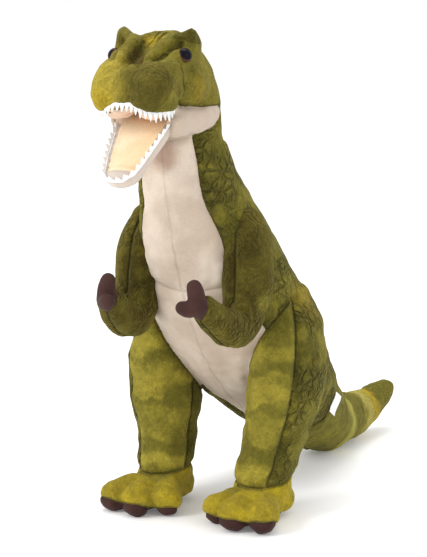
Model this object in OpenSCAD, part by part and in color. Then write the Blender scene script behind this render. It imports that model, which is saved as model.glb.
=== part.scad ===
// Stuffed dinosaur (standing plush tyrannosaur), millimetres.
// +X is the toy's own left, -Y is its front, +Z is up.
// The soles lie on z = 0. Every skin panel is a shell over a soft filling.

/* [Size] */
// Height scale of the whole toy, 1 is the 470 mm toy
toy_scale = 1.0; // [0.8:0.01:1.25]
// Thickness of the pile fabric
skin = 2.2; // [1.6:0.1:3]
// Room left between a skin panel and its filling
fill_gap = 1.2; // [0.8:0.1:2]

/* [Trunk] */
// Widening of the trunk, neck and tail across the toy
trunk_width = 1.0; // [0.85:0.01:1.2]
// Half the thickness of the trunk between the thighs
crotch_half = 36; // [30:0.5:38]
// Half the thickness of the chest between the arms
chest_half = 51; // [46:0.5:52]

/* [Head] */
// Widening of the head and jaw across the toy
head_width = 1.0; // [0.9:0.01:1.15]
// Radius of the plastic eye
eye_r = 6.6; // [5:0.1:8]
// Length of a felt tooth
tooth_len = 9; // [6:0.5:11]
// Number of teeth along a strip
tooth_count = 19; // [11:1:25]
// Height of a brow horn above the head
horn_len = 17; // [10:1:20]

/* [Arms and legs] */
// Radius of a finger
finger_r = 8; // [6:0.5:9]
// Length of the foot scale, 1 reaches 112 mm in front of the hips
foot_size = 1.0; // [0.85:0.01:1.15]
// Thickness of the sole
sole_t = 5; // [3:0.5:6]

/* [Label] */
// Width and length of the sewn-in ribbon
ribbon = [14, 22]; // [8:1:30]

/* [Hidden] */

SQUARE = 2.25;
gap = 1.5;
leg_plane = crotch_half + 2;
arm_plane = chest_half + 2;

// Hinge centres as [y, z]; every hinge runs across the toy.
middle_y = 75.7;
neck_pivot = [-96, 372];
neck_r = 40;
jaw_pivot = [-146, 373];
jaw_r = 15;
tail_pivot = [160, 68];
tail_r = 50;
leg_pivot = [-18, 75];
leg_r = 48;
thigh_top = [8, 178];
thigh_foot = [-12, 100];
leg_room_r = 60;
shoulder_pivot = [-68, 268];
elbow = [-84, 196];
arm_room_r = 46;

neck_dir = [0, -0.12, 0.993];
tail_dir = [0, -0.848, 0.53];
jaw_dir = [0, -0.72, -0.694];
leg_dir = [0, 0.1, 0.995];

// Rows: x, y, z, half width, depth in front, depth behind, seam angle.
TRUNK = [
  [0, 146, 76, 49, 46, 46, -89],
  [0, 118, 96, 57, 52, 51, -89],
  [0, 80, 122, 66, 59, 57, -84],
  [0, 32, 162, 74, 66, 62, -58],
  [0, -6, 202, 76, 68, 62, -34],
  [0, -38, 246, 70, 62, 56, -46],
  [0, -64, 288, 60, 52, 48, -40],
  [0, -82, 322, 48, 43, 40, -45],
  [0, -92, 352, 41, 37, 36, -42]
];
TAIL = [
  [18, 358, 52, 5, 5, 5, 0],
  [17, 352, 48, 11, 11, 11, 0],
  [12, 330, 38, 17, 18, 17, 0],
  [6, 296, 30, 24, 24, 23, 0],
  [1, 256, 28, 30, 27, 29, 0],
  [0, 214, 35, 36, 34, 35, 0],
  [0, 180, 52, 42, 41, 41, 0],
  [0, 152, 72, 47, 45, 45, 0]
];
HEAD = [
  [0, -66, 424, 14, 14, 12, 0],
  [0, -73, 424, 27, 27, 22, 0],
  [0, -90, 424, 38, 33, 30, 0],
  [0, -114, 424, 43, 36, 32, 0],
  [0, -136, 424, 41, 36, 31, 0],
  [0, -158, 421, 37, 34, 26, 0],
  [0, -178, 414, 34, 29, 24, 0],
  [0, -196, 410, 26, 24, 19, 0],
  [0, -204, 407, 11, 16, 10, 0]
];
NECK = [
  [0, -94, 350, 39, 34, 35, -42],
  [0, -96, 372, 38, 33, 34, -42],
  [0, -98, 392.4, 37, 32, 33, -42]
];
JAW = [
  [0, -157, 363, 27, 13, 9, 0],
  [0, -168, 352, 23, 12, 8, 0],
  [0, -181, 340, 19, 10, 7, 0],
  [0, -193, 329, 14, 8, 6, 0],
  [0, -199, 323, 7, 4, 4, 0]
];
ARM = [
  [50, -62, 290, 8, 9, 9, 0],
  [53, -64, 281, 18, 19, 19, 0],
  [55, -68, 260, 24, 25, 25, 0],
  [57, -73, 232, 24, 24, 24, 0],
  [57, -78, 209, 21, 22, 22, 0],
  [56, -89, 194, 19, 21, 18, 0],
  [55, -107, 194, 17, 18, 16, 0],
  [52, -126, 204, 15, 15, 14, 0],
  [49, -138, 212, 13, 13, 12, 0]
];
LEG = [
  [54, -36, 31, 26, 28, 29, 0],
  [54.5, -34, 40, 25.5, 28, 28, 0],
  [56, -26, 54, 27, 31, 29, 0],
  [60, -19, 78, 30, 36, 35, 0],
  [64, -14, 100, 33, 41, 40, 0]
];
THIGH = [
  [64, -14, 100, 33, 41, 40, 0],
  [66, -7, 134, 35, 47, 44, 0],
  [64, 2, 164, 33, 48, 45, 0],
  [60, 8, 192, 27, 40, 40, 0],
  [57, 11, 212, 18, 27, 28, 0],
  [55, 12, 224, 7, 10, 10, 0]
];

function unit(v) = v / norm(v);
function rounded(v) = sign(v) * pow(abs(v), 2 / SQUARE);
function blend4(a, b, c, d, t) = 0.5 * (2 * b + (c - a) * t
  + (2 * a - 5 * b + 4 * c - d) * t * t + (3 * b - a - 3 * c + d) * t * t * t);
function refine(rows, n) = let (last = len(rows) - 1) [
  for (i = [0:last - 1]) for (k = [0:n - 1])
    blend4(rows[max(i - 1, 0)], rows[i], rows[i + 1], rows[min(i + 2, last)], k / n),
  rows[last]
];
function widen(rows, f) = [for (r = rows) [r[0], r[1], r[2], r[3] * f, r[4], r[5], r[6]]];
function spine(rows, i) = let (
  a = rows[max(i - 1, 0)],
  b = rows[min(i + 1, len(rows) - 1)]
) unit([b[0] - a[0], b[1] - a[1], b[2] - a[2]]);

// Distance in the side view from a point to the line between two joints.
function reach(p, a, b) = let (
  q = [p[1], p[2]],
  t = max(0, min(1, (q - a) * (b - a) / ((b - a) * (b - a))))
) norm(q - a - t * (b - a));
function leg_room(p) = crotch_half + 1.1 * max(0, reach(p, thigh_top, thigh_foot) - leg_room_r);
function arm_room(p) = chest_half + 0.9 * max(0, reach(p, shoulder_pivot, elbow) - arm_room_r);
function soften(x, m) = x / pow(1 + pow(abs(x) / m, 6), 1 / 6);

// Shape limits: each keeps one body clear of its neighbours.
function above(v, low, e) = low + (v - low + sqrt((v - low) * (v - low) + e * e)) / 2;
function trunk_limit(p, w) = [soften(p[0], min(leg_room(p), arm_room(p)) - w), p[1], p[2]];
function head_limit(p, w) = [p[0], p[1], above(p[2], 394 + w, 3)];
function tail_limit(p, w) = [p[0], p[1], above(p[2], w, 2)];
function arm_limit(p, w) = let (m = arm_plane - 1.3 * max(0, -108 - p[1]) + w)
  [above(p[0], m, 8), p[1], p[2]];
function leg_limit(p, w) = let (m = leg_plane - 0.5 * max(0, 72 - p[2]) + w)
  [above(p[0], m, 8), p[1], above(p[2], 31, 3)];

// One point of a cross section; hinge = [pivot, radius, direction, side] bends the
// section onto a round seat about the hinge.
function section_point(row, n, th, w, hinge, f) = let (
  dir = hinge == undef ? n : hinge[2],
  d = unit(cross(dir, [1, 0, 0])),
  c = [row[0], row[1], row[2]],
  b = (sin(th) > 0 ? row[5] : row[4]) - w,
  p = c + [1, 0, 0] * (row[3] - w) * rounded(cos(th)) * f + d * b * rounded(sin(th)) * f
) hinge == undef ? p : let (
  o = [0, hinge[0][0], hinge[0][1]],
  v = (p - o) * d,
  s = sqrt(max(0.01, hinge[1] * hinge[1] - v * v)) * hinge[3]
) [p[0], o[1] + d[1] * v + dir[1] * s, o[2] + d[2] * v + dir[2] * s];
// Sections behind a hollow seat stay clear of it, k sections away.
function off_seat(p, hinge, k) = let (
  o = [0, hinge[0][0], hinge[0][1]],
  u = hinge[2] * hinge[3],
  q = [0, p[1], p[2]] - o,
  t = q * u,
  v = norm(q - t * u),
  s = sqrt(max(0.01, hinge[1] * hinge[1] - v * v)) + 2.5 * k
) p + u * max(0, s - t);
function section(rows, i, ths, w, h0, h1, limit, f = 1) = let (
  last = len(rows) - 1,
  hinge = i == 0 ? h0 : i == last ? h1 : undef,
  cup0 = h0 != undef && len(h0) > 4 && i > 0 && i < 6,
  cup1 = h1 != undef && len(h1) > 4 && i < last && i > last - 6
) [for (th = ths) let (
  p = section_point(rows[i], spine(rows, i), th, w, hinge, f)
) limit(cup0 ? off_seat(p, h0, i) : cup1 ? off_seat(p, h1, last - i) : p, w)];
function steps(a, b, n) = [for (k = [0:n]) a + (b - a) * k / n];

// Two triangles for each cell of a grid of points, the outside facing away from the spine.
function cells(m, k, from, wrap, flip) = [
  for (i = [0:m - 2]) for (j = [0:k - (wrap ? 1 : 2)]) let (
    a = from + i * k + j,
    b = from + i * k + (j + 1) % k,
    c = a + k,
    e = b + k
  ) each flip ? [[a, b, e], [a, e, c]] : [[a, e, b], [a, c, e]]
];

// A shell panel between two seam angles, from_deg and to_deg being given row by row.
module panel(rows, span, from_deg, to_deg, cols, h0 = undef, h1 = undef, limit = function (p, w) p) {
  m = span[1] - span[0] + 1;
  k = cols + 1;
  outer = [for (i = [span[0]:span[1]])
    each section(rows, i, steps(from_deg(rows[i]), to_deg(rows[i]), cols), 0, h0, h1, limit)];
  inner = [for (i = [span[0]:span[1]])
    each section(rows, i, steps(from_deg(rows[i]), to_deg(rows[i]), cols), skin, h0, h1, limit)];
  n = m * k;
  edges = concat(
    [for (i = [0:m - 2]) each [[i * k, n + i * k, n + i * k + k], [i * k, n + i * k + k, i * k + k]]],
    [for (i = [0:m - 2]) let (a = i * k + k - 1)
      each [[a, n + a + k, n + a], [a, a + k, n + a + k]]],
    [for (j = [0:k - 2]) each [[j, j + 1, n + j + 1], [j, n + j + 1, n + j]]],
    [for (j = [0:k - 2]) let (a = (m - 1) * k + j)
      each [[a, n + a + 1, a + 1], [a, n + a, n + a + 1]]]
  );
  polyhedron(
    points = concat(outer, inner),
    faces = concat(cells(m, k, 0, false, false), cells(m, k, n, false, true), edges)
  );
}

// A solid filling along the same rows.
module filling(rows, span, w, h0 = undef, h1 = undef, limit = function (p, w) p, k = 16) {
  m = span[1] - span[0] + 1;
  ths = [for (j = [0:k - 1]) j * 360 / k];
  seat = [0.87, 0.7, 0.5, 0.25];
  in0 = h0 == undef ? [] : seat;
  in1 = h1 == undef ? [] : seat;
  body = [for (i = [span[0]:span[1]]) each section(rows, i, ths, w, h0, h1, limit)];
  cap0 = [for (f = in0) each section(rows, span[0], ths, w, h0, h1, limit, f)];
  cap1 = [for (f = in1) each section(rows, span[1], ths, w, h0, h1, limit, f)];
  tip0 = section(rows, span[0], [0], w, h0, h1, limit, 0);
  tip1 = section(rows, span[1], [0], w, h0, h1, limit, 0);
  n = m * k;
  n1 = n + len(cap0);
  t0 = n1 + len(cap1);
  // Starting index of each ring from the rim to the middle of a cap.
  ring0 = [0, for (i = [0:1:len(in0) - 1]) n + i * k];
  ring1 = [n - k, for (i = [0:1:len(in1) - 1]) n1 + i * k];
  e0 = ring0[len(ring0) - 1];
  e1 = ring1[len(ring1) - 1];
  function join(a, b, flip) = [for (j = [0:k - 1]) let (q = (j + 1) % k)
    each flip ? [[a + j, a + q, b + q], [a + j, b + q, b + j]]
      : [[a + j, b + q, a + q], [a + j, b + j, b + q]]];
  polyhedron(
    points = concat(body, cap0, cap1, tip0, tip1),
    faces = concat(
      cells(m, k, 0, true, false),
      [for (i = [0:1:len(ring0) - 2]) each join(ring0[i], ring0[i + 1], true)],
      [for (j = [0:k - 1]) [e0 + j, e0 + (j + 1) % k, t0]],
      [for (i = [0:1:len(ring1) - 2]) each join(ring1[i], ring1[i + 1], false)],
      [for (j = [0:k - 1]) [e1 + (j + 1) % k, e1 + j, t0 + 1]]
    )
  );
}

// Trunk ----------------------------------------------------------------------
trunk_rows = refine(widen(TRUNK, trunk_width), 3);
chest_from = 19;
belly_from = 6;
tail_seat = [tail_pivot, tail_r + gap, tail_dir, 1, "hollow"];
neck_seat = [neck_pivot, neck_r + gap, neck_dir, -1, "hollow"];
trunk_lim = function (p, w) trunk_limit(p, w);

module trunk_skin() {
  color("olivedrab")
    panel(trunk_rows, [0, 24], function (r) max(-89.5, r[6]), function (r) 89.8, 11,
      tail_seat, neck_seat, trunk_lim);
}

module chest_panel() {
  color("wheat")
    panel(trunk_rows, [chest_from, 24], function (r) -89.6, function (r) r[6] - 0.6, 5,
      undef, neck_seat, trunk_lim);
}

module belly_panel() {
  color("wheat")
    panel(trunk_rows, [belly_from, chest_from], function (r) -89.8,
      function (r) max(-88, r[6] - 0.8), 5, undef, undef, trunk_lim);
}

module trunk_filling() {
  color("white")
    filling(trunk_rows, [0, 24], skin + fill_gap + 2.6, tail_seat, neck_seat, trunk_lim, 30);
}

module ribbon_label() {
  color("ghostwhite")
    translate([54 * trunk_width, 118, 70])
      rotate([-32, 0, 0])
        cube([1.2, ribbon[0], ribbon[1]]);
}

// Head -----------------------------------------------------------------------
head_rows = refine(widen(HEAD, head_width), 2);
head_lim = function (p, w) head_limit(p, w);
pad_from = 10;
brow_at = [32 * head_width, -134, 446];
eye_at = [35.6 * head_width, -150, 436];

module eye_axis() {
  translate(eye_at)
    rotate([0, 0, -32])
      rotate([0, 62, 0])
        children();
}

module eye_bore() {
  eye_axis()
    translate([0, 0, -13])
      cylinder(h = 30, r = eye_r + 0.4, $fn = 32);
}

module horn_axis() {
  translate(brow_at)
    rotate([8, 14, 0])
      children();
}

module horn_bore() {
  horn_axis()
    translate([0, 0, -7])
      cylinder(h = 30, r = 8.4, $fn = 32);
}

module head_skin() {
  color("olivedrab")
    difference() {
      panel(head_rows, [0, pad_from], function (r) -40, function (r) 89.8, 8,
        undef, undef, head_lim);
      eye_bore();
      horn_bore();
    }
}

module snout_pad() {
  color("yellowgreen")
    difference() {
      panel(head_rows, [pad_from, 16], function (r) -50, function (r) 89.8, 8,
        undef, undef, head_lim);
      eye_bore();
      horn_bore();
    }
}

module head_filling() {
  color("white")
    difference() {
      filling(head_rows, [1, 15], skin + fill_gap, undef, undef, head_lim, 18);
      for (s = [0, 1])
        mirror([s, 0, 0]) {
          eye_bore();
          horn_bore();
        }
    }
}

module brow_horn() {
  color("darkolivegreen")
    horn_axis() {
      translate([0, 0, -6])
        cylinder(h = 8, r = 8, $fn = 32);
      translate([0, 0, 2])
        cylinder(h = horn_len - 5, r1 = 8, r2 = 3, $fn = 32);
    }
}

module eye() {
  color("black")
    eye_axis() {
      cylinder(h = 1.6, r = eye_r, $fn = 32);
      translate([0, 0, 1.6])
        intersection() {
          translate([0, 0, -eye_r * 0.5])
            sphere(r = eye_r * 1.118, $fn = 32);
          cylinder(h = eye_r, r = eye_r + 1, $fn = 32);
        }
      translate([0, 0, -11])
        cylinder(h = 11.5, r = 2, $fn = 24);
    }
}

module eye_washer() {
  color("gray")
    eye_axis()
      translate([0, 0, -5])
        difference() {
          cylinder(h = 1.5, r = eye_r, $fn = 32);
          translate([0, 0, -1])
            cylinder(h = 4, r = 2.1, $fn = 24);
        }
}

module palate_lining() {
  color("bisque")
    translate([0, 0, 391.4])
      linear_extrude(2)
        polygon(lip_line(4));
}

// Outline of the lip from one mouth corner round the snout to the other.
function lip_line(inset) = [
  for (p = [[1, -160], [1, -172], [0.98, -182], [0.84, -191], [0.56, -197], [0.2, -200],
    [-0.2, -200], [-0.56, -197], [-0.84, -191], [-0.98, -182], [-1, -172], [-1, -160]])
    [p[0] * (27 * head_width - inset), p[1] + inset * (p[1] < -188 ? 1 : 0)]
];

// A felt strip with pointed teeth standing along a line of points.
module tooth_strip(line, t, up, len_dir) {
  n = len(line);
  m = 2 * tooth_count;
  function at(f) = let (i = min(floor(f), n - 2)) line[i] + (line[i + 1] - line[i]) * (f - i);
  function side(f) = let (i = min(floor(f), n - 2), v = line[i + 1] - line[i])
    unit(cross(v, len_dir));
  base = [for (j = [0:m]) at(j * (n - 1) / m)];
  out = [for (j = [0:m]) side(min(n - 1.001, j * (n - 1) / m))];
  tip = [for (j = [0:m]) up + (j % 2 == 1 ? tooth_len : 0)];
  pts = concat(
    [for (j = [0:m]) base[j]],
    [for (j = [0:m]) base[j] + len_dir * tip[j]],
    [for (j = [0:m]) base[j] + out[j] * t],
    [for (j = [0:m]) base[j] + len_dir * tip[j] + out[j] * t]
  );
  k = m + 1;
  polyhedron(points = pts, faces = concat(
    [for (j = [0:m - 1]) each [[j, j + 1, k + j + 1], [j, k + j + 1, k + j]]],
    [for (j = [0:m - 1])
      each [[2 * k + j, 3 * k + j + 1, 2 * k + j + 1], [2 * k + j, 3 * k + j, 3 * k + j + 1]]],
    [for (j = [0:m - 1]) each [[j, 2 * k + j + 1, j + 1], [j, 2 * k + j, 2 * k + j + 1]]],
    [for (j = [0:m - 1])
      each [[k + j, k + j + 1, 3 * k + j + 1], [k + j, 3 * k + j + 1, 3 * k + j]]],
    [[0, k, 3 * k], [0, 3 * k, 2 * k]],
    [[m, 3 * k + m, k + m], [m, 2 * k + m, 3 * k + m]]
  ));
}

module upper_teeth() {
  color("white")
    tooth_strip([for (p = lip_line(2)) [p[0], p[1], 393.6]], 1.4, 1.5, [0, 0, -1]);
}

// Neck -----------------------------------------------------------------------
neck_rows = refine(widen(NECK, trunk_width), 2);
neck_ball = [neck_pivot, neck_r, neck_dir, -1];

module neck_skin() {
  color("olivedrab")
    panel(neck_rows, [0, 4], function (r) r[6], function (r) 180 - r[6], 16, neck_ball);
}

module throat_panel() {
  color("wheat")
    panel(neck_rows, [0, 4], function (r) -180 - r[6] + 0.6, function (r) r[6] - 0.6, 7, neck_ball);
}

module neck_filling() {
  color("white")
    filling(neck_rows, [0, 4], skin + fill_gap, neck_ball, k = 20);
}

// Jaw ------------------------------------------------------------------------
jaw_rows = refine(widen(JAW, head_width), 2);
jaw_ball = [jaw_pivot, jaw_r, jaw_dir, -1];

module jaw_skin() {
  color("tan")
    panel(jaw_rows, [0, 8], function (r) -180.4, function (r) 0.4, 10, jaw_ball);
}

module jaw_lining() {
  color("peachpuff")
    panel(jaw_rows, [0, 8], function (r) 1.6, function (r) 178.4, 10, jaw_ball);
}

module jaw_filling() {
  color("white")
    filling(jaw_rows, [0, 7], skin + fill_gap, jaw_ball);
}

module lower_teeth() {
  lift = unit(cross(jaw_dir, [1, 0, 0]));
  rows = [for (i = [1:8]) jaw_rows[i]];
  function edge(s) = [for (r = rows) [s * (r[3] + 0.8), r[1], r[2]] + lift * 2.6 + jaw_dir * 1.5];
  left = edge(1);
  right = edge(-1);
  line = concat(right, [for (i = [len(left) - 1:-1:0]) left[i]]);
  color("white")
    tooth_strip(line, 1.4, 1.0, lift);
}

// Arms -----------------------------------------------------------------------
arm_rows = refine(ARM, 2);
arm_lim = function (p, w) arm_limit(p, w);

module arm_outer() {
  color("olivedrab")
    panel(arm_rows, [0, 16], function (r) -89.6, function (r) 89.6, 7, undef, undef, arm_lim);
}

module arm_inner() {
  color("darkolivegreen")
    panel(arm_rows, [0, 16], function (r) 90.4, function (r) 269.6, 7, undef, undef, arm_lim);
}

module arm_filling() {
  color("white")
    filling(arm_rows, [1, 16], skin + fill_gap, undef, undef, arm_lim);
}

module hand() {
  wrist = [48.5, -139.5, 213];
  palm = [47, -146, 219];
  color("saddlebrown")
    difference() {
      union() {
        hull() {
          translate(wrist)
            sphere(r = 11, $fn = 13);
          translate(palm)
            sphere(r = 11.5, $fn = 13);
        }
        for (f = [[43, -148, 240], [40, -163, 222]])
          hull() {
            translate(palm)
              sphere(r = finger_r + 1, $fn = 13);
            translate(f)
              sphere(r = finger_r - 1, $fn = 13);
          }
      }
      translate([49, -138, 212])
        rotate([56.3, 0, 0])
          translate([-30, -30, -40.3])
            cube([60, 60, 40.6]);
    }
}

// Legs -----------------------------------------------------------------------
leg_rows = refine(LEG, 2);
thigh_rows = refine(THIGH, 2);
leg_lim = function (p, w) leg_limit(p, w);
leg_ball = [leg_pivot, leg_r, leg_dir, 1];
leg_seat = [leg_pivot, leg_r + gap, leg_dir, 1, "hollow"];

module thigh_front() {
  color("yellowgreen")
    panel(thigh_rows, [0, 10], function (r) -149.6, function (r) -30.4, 6, leg_seat, undef, leg_lim);
}

module thigh_outer() {
  color("darkolivegreen")
    panel(thigh_rows, [0, 10], function (r) -29.6, function (r) 99.6, 7, leg_seat, undef, leg_lim);
}

module thigh_inner() {
  color("olivedrab")
    panel(thigh_rows, [0, 10], function (r) 100.4, function (r) 209.6, 6, leg_seat, undef, leg_lim);
}

module thigh_filling() {
  color("white")
    filling(thigh_rows, [0, 9], skin + fill_gap, leg_seat, undef, leg_lim);
}

module leg_front() {
  color("yellowgreen")
    panel(leg_rows, [0, 8], function (r) -149.6, function (r) -30.4, 6, undef, leg_ball, leg_lim);
}

module leg_outer() {
  color("darkolivegreen")
    panel(leg_rows, [0, 8], function (r) -29.6, function (r) 99.6, 7, undef, leg_ball, leg_lim);
}

module leg_inner() {
  color("olivedrab")
    panel(leg_rows, [0, 8], function (r) 100.4, function (r) 209.6, 6, undef, leg_ball, leg_lim);
}

module leg_filling() {
  color("white")
    filling(leg_rows, [0, 8], skin + fill_gap, undef, leg_ball, leg_lim);
}

// Outline of the foot seen from above: three round toes and a heel.
function toe(a, at, far, r) = let (q = r * r - pow(far * sin(a - at), 2))
  q > 0 && cos(a - at) > 0 ? far * cos(a - at) + sqrt(q) : 0;
function foot_edge(a) = max(35, toe(a, 236, 49, 16.5), toe(a, 268, 55, 16.5), toe(a, 299, 56, 16.5));
function foot_ring(f, z, n = 60) = [for (j = [0:n - 1]) let (a = j * 360 / n,
  r = foot_edge(a) * foot_size * f)
  [54 + r * cos(a), -38 + (1 - f) * 4 + r * sin(a), z]];

module foot() {
  rings = [[0.97, sole_t + 0.3], [1, 10], [0.98, 17], [0.9, 23], [0.76, 27.5], [0.6, 30.4]];
  k = 60;
  pts = [for (q = rings) each foot_ring(q[0], q[1], k)];
  m = len(rings);
  color("yellowgreen")
    polyhedron(
      points = concat(pts, [[54, -38, sole_t + 0.3], [54, -36.4, 30.4]]),
      faces = concat(
        cells(m, k, 0, true, false),
        [for (j = [0:k - 1]) [j, (j + 1) % k, m * k]],
        [for (j = [0:k - 1]) [(m - 1) * k + (j + 1) % k, (m - 1) * k + j, m * k + 1]]
      )
    );
}

module sole() {
  color("saddlebrown")
    linear_extrude(sole_t)
      polygon([for (p = foot_ring(0.97, 0)) [p[0], p[1]]]);
}

// Tail -----------------------------------------------------------------------
tail_rows = refine(widen(TAIL, trunk_width), 2);
tail_ball = [tail_pivot, tail_r, tail_dir, 1];
tail_lim = function (p, w) tail_limit(p, w);

module tail_skin(from, to) {
  color("olivedrab")
    panel(tail_rows, [0, 14], function (r) from, function (r) to, 8, undef, tail_ball,
      tail_lim);
}

module tail_filling() {
  color("white")
    filling(tail_rows, [1, 14], skin + fill_gap, undef, tail_ball, tail_lim, 18);
}

// The row's origin is on the floor below the middle of the toy's outline.
module whole() {
  scale(toy_scale)
    translate([0, -middle_y, 0])
      children();
}

module other_side() {
  whole()
    mirror([1, 0, 0])
      children();
}

whole() trunk_skin();  // trunk_skin_left
other_side() trunk_skin();  // trunk_skin_right
whole() chest_panel();  // chest_panel_left
other_side() chest_panel();  // chest_panel_right
whole() belly_panel();  // belly_panel_left
other_side() belly_panel();  // belly_panel_right
whole() trunk_filling();
whole() ribbon_label();
whole() head_skin();  // head_skin_left
other_side() head_skin();  // head_skin_right
whole() snout_pad();  // snout_pad_left
other_side() snout_pad();  // snout_pad_right
whole() brow_horn();  // brow_horn_left
other_side() brow_horn();  // brow_horn_right
whole() eye();  // eye_left
other_side() eye();  // eye_right
whole() eye_washer();  // eye_washer_left
other_side() eye_washer();  // eye_washer_right
whole() upper_teeth();
whole() palate_lining();
whole() head_filling();
whole() neck_skin();
whole() throat_panel();
whole() neck_filling();
whole() jaw_skin();
whole() jaw_lining();
whole() lower_teeth();
whole() jaw_filling();
whole() arm_outer();  // arm_outer_left
whole() arm_inner();  // arm_inner_left
whole() hand();  // hand_left
whole() arm_filling();  // arm_filling_left
other_side() arm_outer();  // arm_outer_right
other_side() arm_inner();  // arm_inner_right
other_side() hand();  // hand_right
other_side() arm_filling();  // arm_filling_right
whole() thigh_front();  // thigh_front_left
whole() thigh_outer();  // thigh_outer_left
whole() thigh_inner();  // thigh_inner_left
whole() thigh_filling();  // thigh_filling_left
other_side() thigh_front();  // thigh_front_right
other_side() thigh_outer();  // thigh_outer_right
other_side() thigh_inner();  // thigh_inner_right
other_side() thigh_filling();  // thigh_filling_right
whole() leg_front();  // leg_front_left
whole() leg_outer();  // leg_outer_left
whole() leg_inner();  // leg_inner_left
whole() foot();  // foot_left
whole() sole();  // sole_left
whole() leg_filling();  // leg_filling_left
other_side() leg_front();  // leg_front_right
other_side() leg_outer();  // leg_outer_right
other_side() leg_inner();  // leg_inner_right
other_side() foot();  // foot_right
other_side() sole();  // sole_right
other_side() leg_filling();  // leg_filling_right
whole() tail_skin(-89.7, 89.7);  // tail_skin_left
whole() tail_skin(90.3, 269.7);  // tail_skin_right
whole() tail_filling();
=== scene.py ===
# %% [markdown]
# # A stuffed dinosaur, panel by panel
# The toy is a skin of short-pile fabric, cut in panels, sewn together and filled with loose
# fibre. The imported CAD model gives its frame: which parts turn about which joint, and where.
# Everything below is built around that frame, in metres, at the place where it belongs.

import math

import bmesh
import bpy
import numpy as np
from mathutils.bvhtree import BVHTree
from mathutils import Matrix, Vector, kdtree, noise


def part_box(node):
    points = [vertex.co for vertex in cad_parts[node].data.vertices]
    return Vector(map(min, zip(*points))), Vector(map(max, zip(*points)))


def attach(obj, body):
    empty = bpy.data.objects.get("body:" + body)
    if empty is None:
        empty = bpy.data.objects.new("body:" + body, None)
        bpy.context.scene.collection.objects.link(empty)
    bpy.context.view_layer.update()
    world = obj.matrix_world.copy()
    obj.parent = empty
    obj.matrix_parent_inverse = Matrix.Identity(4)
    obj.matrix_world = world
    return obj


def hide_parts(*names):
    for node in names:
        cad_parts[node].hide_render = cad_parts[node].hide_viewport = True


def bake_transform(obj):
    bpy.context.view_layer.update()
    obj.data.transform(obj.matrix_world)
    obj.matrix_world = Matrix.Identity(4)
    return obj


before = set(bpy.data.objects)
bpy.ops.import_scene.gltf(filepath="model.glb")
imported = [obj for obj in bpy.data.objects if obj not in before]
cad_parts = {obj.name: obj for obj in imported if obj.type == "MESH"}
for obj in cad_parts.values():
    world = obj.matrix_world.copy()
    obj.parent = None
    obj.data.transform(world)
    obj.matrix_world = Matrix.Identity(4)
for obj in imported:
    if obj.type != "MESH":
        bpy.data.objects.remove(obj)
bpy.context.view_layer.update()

# %% [markdown]
# ## Camera first
# A long lens from a little above the toy's shoulder height, 28 degrees round to its left.
# The shift moves the picture in the frame without tilting the camera.

# %% Camera
MIDDLE = 75.7          # millimetres from the toy's own zero to the frame's origin, along Y
VIEW_TURN = math.radians(28)
VIEW_AWAY = 1.58
VIEW_HEIGHT = 0.455
VIEW_FOCAL = 106.64
VIEW_SHIFT = (-0.0296, -0.0278)
AIM_HEIGHT = 0.235

camera_data = bpy.data.cameras.new("camera")
camera_data.lens = VIEW_FOCAL
camera_data.sensor_width = 36
camera_data.shift_x, camera_data.shift_y = VIEW_SHIFT
camera = bpy.data.objects.new("camera", camera_data)
camera.location = (
    math.sin(VIEW_TURN) * VIEW_AWAY,
    -math.cos(VIEW_TURN) * VIEW_AWAY - MIDDLE / 1000,
    VIEW_HEIGHT,
)
aim = Vector((0, -MIDDLE / 1000, AIM_HEIGHT))
camera.rotation_euler = (aim - camera.location).to_track_quat("-Z", "Y").to_euler()
bpy.context.collection.objects.link(camera)
bpy.context.scene.camera = camera
print("camera at", [round(v, 3) for v in camera.location])

# %% [markdown]
# ## Studio
# A white floor as far as the eye sees under a white world, a big soft light in front on
# the left, a weak one on the right and one above. Colours are shown as they are.

# %% Floor and lights
def light(name, place, target, size, watts):
    data = bpy.data.lights.new(name, "AREA")
    data.size = size
    data.energy = watts
    lamp = bpy.data.objects.new(name, data)
    lamp.location = place
    lamp.rotation_euler = (Vector(target) - Vector(place)).to_track_quat("-Z", "Y").to_euler()
    bpy.context.collection.objects.link(lamp)


def object_from(bm, name):
    """A new object with the bmesh's shape, which is used up."""
    mesh = bpy.data.meshes.new(name)
    bm.to_mesh(mesh)
    bm.free()
    obj = bpy.data.objects.new(name, mesh)
    bpy.context.collection.objects.link(obj)
    return obj


FLOOR_HALF = 30


def studio():
    bm = bmesh.new()
    bmesh.ops.create_grid(bm, x_segments=1, y_segments=1, size=FLOOR_HALF)
    floor = object_from(bm, "studio_floor")
    paper = bpy.data.materials.new("white_paper")
    paper.use_nodes = True
    shader = paper.node_tree.nodes["Principled BSDF"]
    shader.inputs["Base Color"].default_value = (0.95, 0.95, 0.95, 1)
    shader.inputs["Roughness"].default_value = 0.9
    shader.inputs["Specular IOR Level"].default_value = 0.1
    shader.inputs["Emission Color"].default_value = (1, 1, 1, 1)
    shader.inputs["Emission Strength"].default_value = 0.11
    floor.data.materials.append(paper)


studio()
light("key", (-1.3, -2.2, 1.7), (0, -0.1, 0.25), 0.9, 34)
light("side", (2.2, -0.9, 1.1), (0, -0.1, 0.25), 1.0, 7)
light("top", (-0.2, 0.3, 2.4), (0, 0, 0.2), 1.2, 16)
world = bpy.data.worlds.new("soft_white")
world.use_nodes = True
world.node_tree.nodes["Background"].inputs["Color"].default_value = (1, 1, 1, 1)
world.node_tree.nodes["Background"].inputs["Strength"].default_value = 1.0
bpy.context.scene.world = world
bpy.context.scene.view_settings.view_transform = "Standard"

# %% [markdown]
# ## Forms
# A stuffed panel toy swells into smooth, round forms. Each form is a loft: a table of
# rings, each with its centre, half width and its depth to the front and to the back, in
# millimetres. A few rows are enough, because a smooth curve is run through them.

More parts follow.
